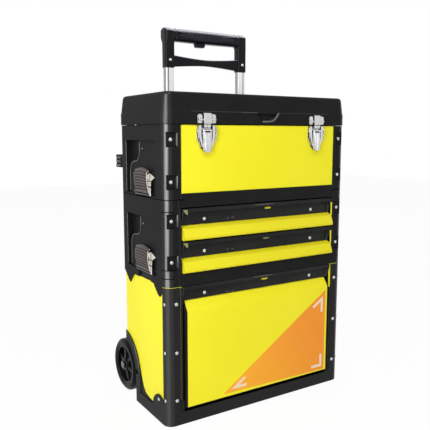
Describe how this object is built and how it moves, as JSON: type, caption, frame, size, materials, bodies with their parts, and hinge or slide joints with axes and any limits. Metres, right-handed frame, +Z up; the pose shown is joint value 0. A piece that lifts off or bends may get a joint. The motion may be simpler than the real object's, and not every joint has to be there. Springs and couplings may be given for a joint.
{
  "type": "rolling tool box",
  "caption": "Stacked rolling tool box: lidded top box, slide-out drawers, tilt-out bin, two-wheeled base and telescopic pull handle.",
  "frame": {"origin": "on the floor, under the middle of the body's footprint", "axes": "+Z up, +Y from the drawers to the trolley handle, +X to the right seen from the front"},
  "size_m": [0.519, 0.312, 0.893],
  "materials": {
    "black_plastic": "satin moulded, fine grain",
    "yellow_steel": "gloss powder coat",
    "chrome_steel": "bright plate",
    "zinc_steel": "bright zinc plate",
    "tube_metal": "bright anodised",
    "lever_plastic": "satin, brown grey",
    "grip_plastic": "gloss moulded",
    "tray_plastic": "satin moulded",
    "tyre_rubber": "matt rubber",
    "rim_plastic": "satin moulded",
    "sticker_film": "printed film"
  },
  "bodies": {
    "frame": {"base_tray": "black_plastic", "lower_sheet": "yellow_steel", "corner_posts": "black_plastic", "lower_top_frame": "black_plastic", "foot_caps": "black_plastic", "wheel_arches": "black_plastic", "axle": "zinc_steel", "middle_ends": "black_plastic", "middle_floor": "black_plastic", "middle_top_frame": "black_plastic", "middle_back": "yellow_steel", "drawer_guides": "zinc_steel", "top_ends": "black_plastic", "top_sheet": "yellow_steel", "top_floor": "black_plastic", "top_back": "black_plastic", "tote_tray": "tray_plastic", "latch_bases": "chrome_steel", "handle_sleeves": "tube_metal", "sleeve_brackets": "black_plastic", "hinge_bases": "zinc_steel", "side_latch_brackets": "zinc_steel", "strike_lugs": "zinc_steel", "body_rivets": "zinc_steel"},
    "lid": {"lid_shell": "black_plastic", "lid_catches": "chrome_steel", "lid_hinge_leaves": "zinc_steel"},
    "carry_handle": {"carry_handle": "black_plastic"},
    "front_latch_left": {"front_lever_left": "chrome_steel"},
    "front_latch_right": {"front_lever_right": "chrome_steel"},
    "side_latch_upper_left": {"side_lever_upper_left": "lever_plastic", "side_hook_upper_left": "zinc_steel"},
    "side_latch_upper_right": {"side_lever_upper_right": "lever_plastic", "side_hook_upper_right": "zinc_steel"},
    "side_latch_lower_left": {"side_lever_lower_left": "lever_plastic", "side_hook_lower_left": "zinc_steel"},
    "side_latch_lower_right": {"side_lever_lower_right": "lever_plastic", "side_hook_lower_right": "zinc_steel"},
    "upper_drawer": {"upper_drawer_tray": "tray_plastic", "upper_drawer_front": "yellow_steel", "upper_drawer_trim": "black_plastic", "upper_drawer_rivets": "zinc_steel"},
    "lower_drawer": {"lower_drawer_tray": "tray_plastic", "lower_drawer_front": "yellow_steel", "lower_drawer_trim": "black_plastic", "lower_drawer_rivets": "zinc_steel"},
    "bin": {"bin_tub": "black_plastic", "bin_front": "yellow_steel", "bin_trim": "black_plastic", "bin_rivets": "zinc_steel", "bin_sticker": "sticker_film"},
    "trolley_handle": {"handle_tubes": "tube_metal", "handle_grip": "grip_plastic", "grip_rivets": "zinc_steel"},
    "release_button": {"release_button": "grip_plastic"},
    "wheel_left": {"tyre_left": "tyre_rubber", "rim_left": "rim_plastic"},
    "wheel_right": {"tyre_right": "tyre_rubber", "rim_right": "rim_plastic"}
  },
  "joints": [
    {"name": "lid_hinge", "type": "hinge", "parent": "frame", "child": "lid", "pos_m": [0, 0.108, 0.708], "axis": [-1, 0, 0], "range_deg": [0, 90]},
    {"name": "carry_handle_hinge", "type": "hinge", "parent": "lid", "child": "carry_handle", "pos_m": [0, -0.018, 0.713], "axis": [1, 0, 0], "range_deg": [0, 90]},
    {"name": "front_latch_left_hinge", "type": "hinge", "parent": "frame", "child": "front_latch_left", "pos_m": [-0.152, -0.121, 0.64], "axis": [-1, 0, 0], "range_deg": [0, 110]},
    {"name": "front_latch_right_hinge", "type": "hinge", "parent": "frame", "child": "front_latch_right", "pos_m": [0.152, -0.121, 0.64], "axis": [-1, 0, 0], "range_deg": [0, 110]},
    {"name": "upper_drawer_slide", "type": "slide", "parent": "frame", "child": "upper_drawer", "axis": [0, -1, 0], "range_m": [0, 0.17]},
    {"name": "lower_drawer_slide", "type": "slide", "parent": "frame", "child": "lower_drawer", "axis": [0, -1, 0], "range_m": [0, 0.17]},
    {"name": "bin_tilt", "type": "hinge", "parent": "frame", "child": "bin", "pos_m": [0, -0.108, 0.038], "axis": [1, 0, 0], "range_deg": [0, 35]},
    {"name": "handle_slide", "type": "slide", "parent": "frame", "child": "trolley_handle", "axis": [0, 0, 1], "range_m": [-0.065, 0.3]},
    {"name": "button_press", "type": "slide", "parent": "trolley_handle", "child": "release_button", "axis": [0, 0, 1], "range_m": [0, 0.004], "stiffness_N_per_m": 400, "springref_m": -0.001},
    {"name": "wheel_left_spin", "type": "hinge", "parent": "frame", "child": "wheel_left", "pos_m": [-0.233, 0.122, 0.064], "axis": [1, 0, 0], "continuous": true},
    {"name": "wheel_right_spin", "type": "hinge", "parent": "frame", "child": "wheel_right", "pos_m": [0.233, 0.122, 0.064], "axis": [1, 0, 0], "continuous": true},
    {"name": "side_latch_upper_left_hinge", "type": "hinge", "parent": "frame", "child": "side_latch_upper_left", "pos_m": [-0.2525, -0.012, 0.555], "axis": [0, 1, 0], "range_deg": [0, 100]},
    {"name": "side_latch_upper_right_hinge", "type": "hinge", "parent": "frame", "child": "side_latch_upper_right", "pos_m": [0.2525, -0.012, 0.555], "axis": [0, -1, 0], "range_deg": [0, 100]},
    {"name": "side_latch_lower_left_hinge", "type": "hinge", "parent": "frame", "child": "side_latch_lower_left", "pos_m": [-0.2525, -0.012, 0.383], "axis": [0, 1, 0], "range_deg": [0, 100]},
    {"name": "side_latch_lower_right_hinge", "type": "hinge", "parent": "frame", "child": "side_latch_lower_right", "pos_m": [0.2525, -0.012, 0.383], "axis": [0, -1, 0], "range_deg": [0, 100]}
  ]
}
